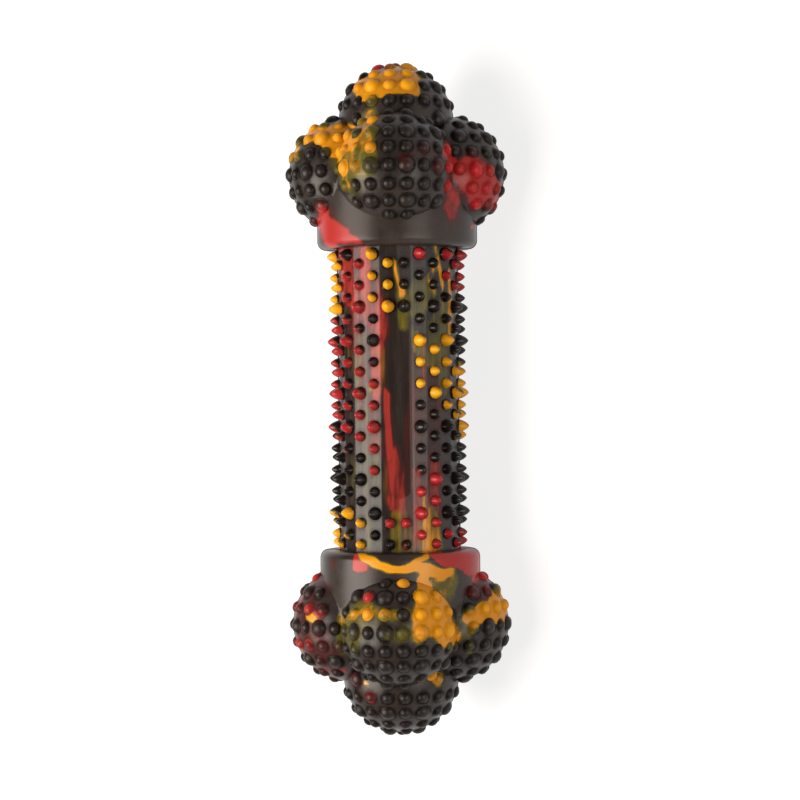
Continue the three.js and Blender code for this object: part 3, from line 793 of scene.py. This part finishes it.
def marbledRubber(name, look):
    # pressed rubber in three colours: amber thins to olive over the charcoal, red to maroon;
    # the mould leaves a satin skin with a fine grain
    material, tree = emptyMaterial(name)
    colour = {key: toLinear(value) for key, value in {**rubber["colours"], **look["colours"]}.items()}
    place = addNode(tree, "ShaderNodeTexCoord", {}).outputs["Object"]
    flowed = addNode(tree, "ShaderNodeMapping", {"Vector": place, "Scale": look["stretch"]}).outputs[0]
    # the studs, whose charcoal takes the painted shade and whose skin is duller
    stud = addNode(tree, "ShaderNodeAttribute", {}, attribute_name="stud").outputs["Fac"]
    # the mask of the painted shade in the creases round the studs
    paintedShade = addNode(tree, "ShaderNodeAttribute", {}, attribute_name="paintedShade").outputs["Fac"]
    tone = addNode(tree, "ShaderNodeTexNoise", {
        "Vector": flowed, "Scale": 1 / (look["tone"] * mm), "Detail": rubber["toneDetail"],
        "Roughness": rubber["toneRoughness"]}).outputs[0]
    mixed = charcoalGround(tree, colour, tone, stud, paintedShade)
    for key, thin, shift in (("red", "maroon", rubber["redShift"]), ("amber", "olive", 0.0)):
        wave = addNode(tree, "ShaderNodeTexNoise", {
            "Vector": flowed, "W": shift, "Scale": 1 / (look["swirl"] * mm),
            "Detail": rubber["swirlDetail"], "Roughness": rubber["swirlRoughness"],
            "Distortion": look["curl"]}, noise_dimensions="4D").outputs[0]
        mixed = pressedOver(tree, look, colour, mixed, key, thin, wave, paintedShade)
    grain = addNode(tree, "ShaderNodeTexNoise", {
        "Vector": place, "Scale": 1 / (look["grain"] * mm), "Detail": rubber["grainDetail"]}).outputs[0]
    bump = addNode(tree, "ShaderNodeBump", {
        "Height": grain, "Strength": look["grainDepth"], "Distance": rubber["grainHeight"] * mm}).outputs[0]
    dullFrom, dullTo = rubber["dullRange"]
    gloss = addNode(tree, "ShaderNodeMapRange", {
        "Value": tone, "From Min": dullFrom, "From Max": dullTo,
        "To Min": look["smooth"], "To Max": look["dull"]}).outputs[0]
    softened = addNode(tree, "ShaderNodeMath", {
        0: stud, 1: look["studDull"], 2: gloss}, operation="MULTIPLY_ADD").outputs[0]
    # painted shade on the reflections: less shine in the creases round the studs
    shine = addNode(tree, "ShaderNodeMapRange", {
        "Value": paintedShade, "To Min": rubber["shine"], "To Max": look["paintedShadeShine"]}).outputs[0]
    skin = addNode(tree, "ShaderNodeBsdfPrincipled", {
        "Base Color": mixed, "Roughness": softened, "Normal": bump, "IOR": look["ior"],
        "Specular IOR Level": shine})
    addNode(tree, "ShaderNodeOutputMaterial", {"Surface": skin.outputs[0]})
    return material


nylonLook = {  # the cloud's size in mm
    "cloud": 12.0, "cloudDetail": 3.0, "ivory": "#e2d9c2", "ivoryPale": "#efe8d8",
    "smooth": 0.35, "dull": 0.45, "ior": 1.53,
}


def naturalNylon():
    # injected nylon in its own ivory colour: a little cloudy, with a smooth half-gloss skin
    material, tree = emptyMaterial("injected natural nylon")
    place = addNode(tree, "ShaderNodeTexCoord", {}).outputs["Object"]
    cloud = addNode(tree, "ShaderNodeTexNoise", {
        "Vector": place, "Scale": 1 / (nylonLook["cloud"] * mm),
        "Detail": nylonLook["cloudDetail"]}).outputs[0]
    mixed = addNode(tree, "ShaderNodeMix", {
        0: cloud, 6: toLinear(nylonLook["ivory"]), 7: toLinear(nylonLook["ivoryPale"])},
        data_type="RGBA").outputs[2]
    gloss = addNode(tree, "ShaderNodeMapRange", {
        "Value": cloud, "To Min": nylonLook["smooth"], "To Max": nylonLook["dull"]}).outputs[0]
    skin = addNode(tree, "ShaderNodeBsdfPrincipled", {
        "Base Color": mixed, "Roughness": gloss, "IOR": nylonLook["ior"]})
    addNode(tree, "ShaderNodeOutputMaterial", {"Surface": skin.outputs[0]})
    return material


def seenDirectly(tree):
    # one for the rays of the eye, of reflections and of clear things, none for the light on the toy
    rays = addNode(tree, "ShaderNodeLightPath", {}).outputs
    direct = addNode(tree, "ShaderNodeMath", {
        0: rays["Is Camera Ray"], 1: rays["Is Glossy Ray"]}, operation="MAXIMUM").outputs[0]
    return addNode(tree, "ShaderNodeMath", {
        0: direct, 1: rays["Is Transmission Ray"]}, operation="MAXIMUM").outputs[0]


def paperFloor():
    # white paper sweep: it takes the toy's shadow, and a lift for the eye alone keeps it white elsewhere
    material, tree = emptyMaterial("white paper sweep")
    lift = addNode(tree, "ShaderNodeMath", {
        0: seenDirectly(tree), 1: studio["floorLift"]}, operation="MULTIPLY").outputs[0]
    matt = addNode(tree, "ShaderNodeBsdfDiffuse", {"Color": toLinear(studio["floorColour"])})
    glow = addNode(tree, "ShaderNodeEmission", {"Strength": lift})
    both = addNode(tree, "ShaderNodeAddShader", {0: matt.outputs[0], 1: glow.outputs[0]})
    addNode(tree, "ShaderNodeOutputMaterial", {"Surface": both.outputs[0]})
    return material


# Studio

studio = {  # metres and watts
    "floorSize": 6.0, "floorColour": "#909090", "floorLift": 0.8, "roomStrength": 0.06,
    "sweepTop": 0.3, "sweepFull": 0.1, "lampColour": (1.0, 0.92, 0.83),
    "lamps": [  # right, front and up along the toy as the photo's eye sees it, size, power
        ("window", (-0.64, 0.35, -0.14), 0.58, 9.8),
        ("fill", (0.34, 0.60, -0.08), 0.35, 2.2),
    ],
}
camera = {  # mm, and degrees of roll
    "frameHeight": 226.9, "sensor": 36, "roll": 0.57, "shiftRight": 0.37, "shiftUp": -0.28,
}

photoRight = Vector((0, -rollShare, -rollShare))
photoFront = Vector((0, -rollShare, rollShare))
photoUp = Vector((1, 0, 0))
toyMiddle = Vector((0, 0, axisHeight))


def aimed(location, target, up):
    # a turn that looks from location to target with up towards the top
    back = (location - target).normalized()
    right = up.cross(back).normalized()
    turn = Matrix((right, back.cross(right), back)).transposed()
    return Matrix.Translation(location) @ turn.to_4x4()


def addLamp(name, offset, size, power):
    # a square lamp at an offset from the toy's middle, facing it
    data = bpy.data.lights.new(name, "AREA")
    data.size = size
    data.energy = power
    data.color = studio["lampColour"]
    lamp = bpy.data.objects.new(name, data)
    right, front, up = offset
    location = toyMiddle + photoRight * right + photoFront * front + photoUp * up
    lamp.matrix_world = aimed(location, toyMiddle, photoUp)
    bpy.context.scene.collection.objects.link(lamp)


def addCamera():
    # the photo's eye: the lens that shows the frame's height at the toy's distance
    data = bpy.data.cameras.new("camera")
    data.sensor_width = camera["sensor"]
    data.lens = camera["sensor"] * photoEye["distance"] / camera["frameHeight"]
    eye = bpy.data.objects.new("camera", data)
    turn, roll = math.radians(photoEye["turn"]), math.radians(camera["roll"])
    target = toyMiddle + photoRight * camera["shiftRight"] * mm + photoUp * camera["shiftUp"] * mm
    towards = photoFront * math.cos(turn) + photoRight * math.sin(turn)
    up = photoUp * math.cos(roll) + photoRight * math.sin(roll)
    eye.matrix_world = aimed(target + towards * photoEye["distance"] * mm, target, up)
    bpy.context.scene.collection.objects.link(eye)
    bpy.context.scene.camera = eye


def addFloor():
    # one square under the toy
    half = studio["floorSize"] / 2
    corners = [(-half, -half, 0), (half, -half, 0), (half, half, 0), (-half, half, 0)]
    mesh = bpy.data.meshes.new("floor")
    mesh.from_pydata(corners, [], [(0, 1, 2, 3)])
    floor = bpy.data.objects.new("floor", mesh)
    floor.data.materials.append(paperFloor())
    bpy.context.scene.collection.objects.link(floor)


def addRoom():
    # a dim room; the eye and reflections see the white sweep rise to a little above the floor
    world = bpy.data.worlds.new("room with a white sweep")
    world.use_nodes = True
    tree = world.node_tree
    tree.nodes.clear()
    way = addNode(tree, "ShaderNodeTexCoord", {}).outputs["Generated"]
    rise = addNode(tree, "ShaderNodeSeparateXYZ", {"Vector": way}).outputs["Z"]
    low = addNode(tree, "ShaderNodeMapRange", {
        "Value": rise, "From Min": studio["sweepTop"], "From Max": studio["sweepFull"]},
        interpolation_type="SMOOTHSTEP").outputs[0]
    white = addNode(tree, "ShaderNodeMath", {
        0: low, 1: seenDirectly(tree)}, operation="MULTIPLY").outputs[0]
    shown = addNode(tree, "ShaderNodeMix", {
        0: white, 2: studio["roomStrength"], 3: 1.0}, data_type="FLOAT").outputs[0]
    light = addNode(tree, "ShaderNodeBackground", {"Color": (1, 1, 1, 1), "Strength": shown})
    addNode(tree, "ShaderNodeOutputWorld", {"Surface": light.outputs[0]})
    bpy.context.scene.world = world


# Assembly

satinRubber = marbledRubber("pressed marbled rubber, satin", satinLook)
streakedRubber = marbledRubber("pressed marbled rubber, streaked", streakedLook)
strokesOf = {
    "upper": {"amber": upperEndAmber, "red": upperEndRed},
    "lower": {"amber": lowerEndAmber, "red": lowerEndRed},
}
nubStrokesOf = {
    "upper": {"amber": [], "red": upperNubRed},
    "lower": {"amber": lowerNubAmber, "red": lowerNubRed},
}

endMesh, nubPlaces, nubRadii = endShape()
endLocal = cornersOf(endMesh)
for name, node, sign, key, other, seed in (
    ("upperKnuckles", "upper_knuckle_end", 1, "upper", "lower", 3),
    ("lowerKnuckles", "lower_knuckle_end", -1, "lower", "upper", 5),
):
    standing = endLocal * [sign, 1, sign] + [0, 0, sign * knuckledEnd["face"]]
    standingPlaces = nubPlaces * [sign, 1, sign] + [0, 0, sign * knuckledEnd["face"]]
    fields = endFields(standing, endLocal, standingPlaces, nubPlaces, nubRadii,
                       strokesOf[key], strokesOf[other], nubStrokesOf[key], seed)
    piece = finishedPiece(name, endMesh, standing, fields)
    piece.data.materials.clear()
    piece.data.materials.append(satinRubber)
    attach(piece, "root")
    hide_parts(node)

sleeveMesh, spikeFeet, spikeNormals, spikeRadii = sleeveShape()
sleevePoints = cornersOf(sleeveMesh)
sleeveMarbling = sleeveFields(sleevePoints, spikeFeet, spikeNormals, spikeRadii)
sleevePiece = finishedPiece("spikedShaft", sleeveMesh, sleevePoints, sleeveMarbling)
sleevePiece.data.materials.clear()
sleevePiece.data.materials.append(streakedRubber)
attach(sleevePiece, "root")
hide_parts("spiked_sleeve")

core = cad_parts["nylon_core"]
core.data.materials.clear()
core.data.materials.append(naturalNylon())
print("pieces dressed")

addFloor()
addRoom()
for lamp in studio["lamps"]:
    addLamp(*lamp)
addCamera()
bpy.context.scene.view_settings.view_transform = "Standard"
print("studio ready")
